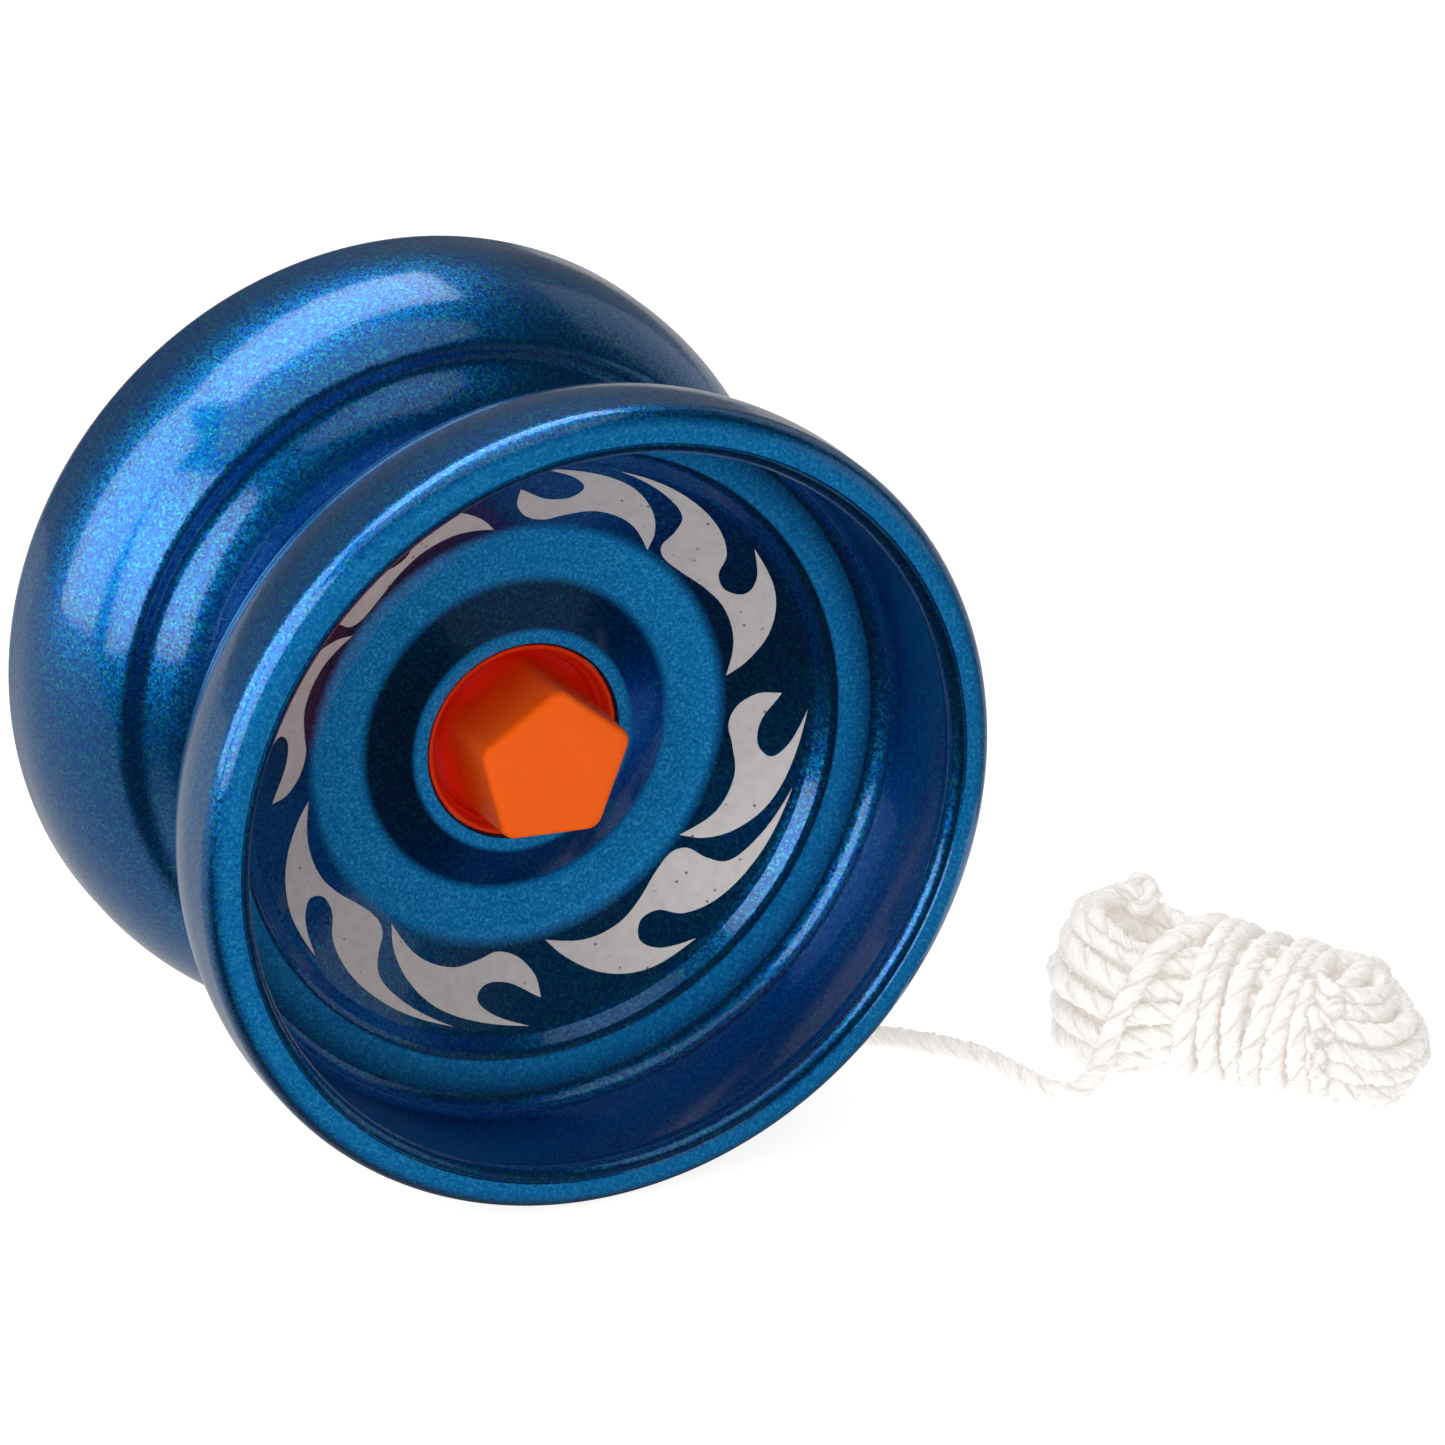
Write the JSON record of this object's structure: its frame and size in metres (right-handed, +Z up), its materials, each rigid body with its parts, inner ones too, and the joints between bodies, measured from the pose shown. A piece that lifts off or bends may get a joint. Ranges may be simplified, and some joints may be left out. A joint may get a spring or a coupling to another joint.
{
  "type": "yo yo",
  "caption": "Wide bowl-shaped yo-yo of two die-cast halves on a ball-bearing axle, with five-sided hub caps and a wound hank of string on the floor beside it.",
  "frame": {"origin": "on the floor under the middle of the yo-yo, where the middle plane between the two halves crosses it; the string's hank is not counted", "axes": "+Z up; the axle lies along Y, the front half is towards -Y and the string lies towards +X"},
  "size_m": [0.087, 0.0516, 0.056],
  "materials": {
    "flake_blue_paint": "metallic flake blue lacquer over die-cast alloy, gloss",
    "orange_plastic": "moulded, semi-gloss, slightly translucent",
    "insert_brass": "turned",
    "spacer_aluminium": "turned",
    "response_rubber": "matte silicone",
    "bearing_steel": "ground and polished bearing steel",
    "sheet_steel": "rolled sheet",
    "axle_steel": "rolled thread, oiled",
    "white_cotton": "twisted cotton-polyester yarn"
  },
  "bodies": {
    "string_side": {"bearing_outer_race": "bearing_steel", "front_bearing_shield": "sheet_steel", "rear_bearing_shield": "sheet_steel", "front_shield_clip": "sheet_steel", "rear_shield_clip": "sheet_steel", "string_axle_loop": "white_cotton", "string_lead": "white_cotton", "string_hank": "white_cotton", "string_end_knot": "white_cotton"},
    "rear_side": {"rear_half": "flake_blue_paint", "rear_hub_cap": "orange_plastic", "rear_threaded_insert": "insert_brass", "rear_spacer": "spacer_aluminium", "rear_response_pad": "response_rubber", "axle": "axle_steel", "bearing_inner_race": "bearing_steel"},
    "ball_cage": {"bearing_cage": "sheet_steel", "bearing_balls": "bearing_steel"},
    "front_spacer_slider": {"front_spacer": "spacer_aluminium"},
    "front_side": {"front_half": "flake_blue_paint", "front_hub_cap": "orange_plastic", "front_threaded_insert": "insert_brass", "front_response_pad": "response_rubber"}
  },
  "joints": [
    {"name": "halves_spin", "type": "hinge", "parent": "string_side", "child": "rear_side", "pos_m": [0, 0, 0.028], "axis": [0, 1, 0], "continuous": true},
    {"name": "cage_roll", "type": "hinge", "parent": "string_side", "child": "ball_cage", "pos_m": [0, 0, 0.028], "axis": [0, 1, 0], "continuous": true},
    {"name": "front_advance", "type": "slide", "parent": "rear_side", "child": "front_spacer_slider", "axis": [0, -1, 0], "range_m": [0, 0.00421]},
    {"name": "front_unscrew", "type": "hinge", "parent": "front_spacer_slider", "child": "front_side", "pos_m": [0, 0, 0.028], "axis": [0, -1, 0], "range_deg": [0, 2160]}
  ],
  "couplings": [
    {"joint": "cage_roll", "follows": "halves_spin", "ratio": 0.395},
    {"joint": "front_advance", "follows": "front_unscrew", "m_per_rad": 0.00011141}
  ]
}
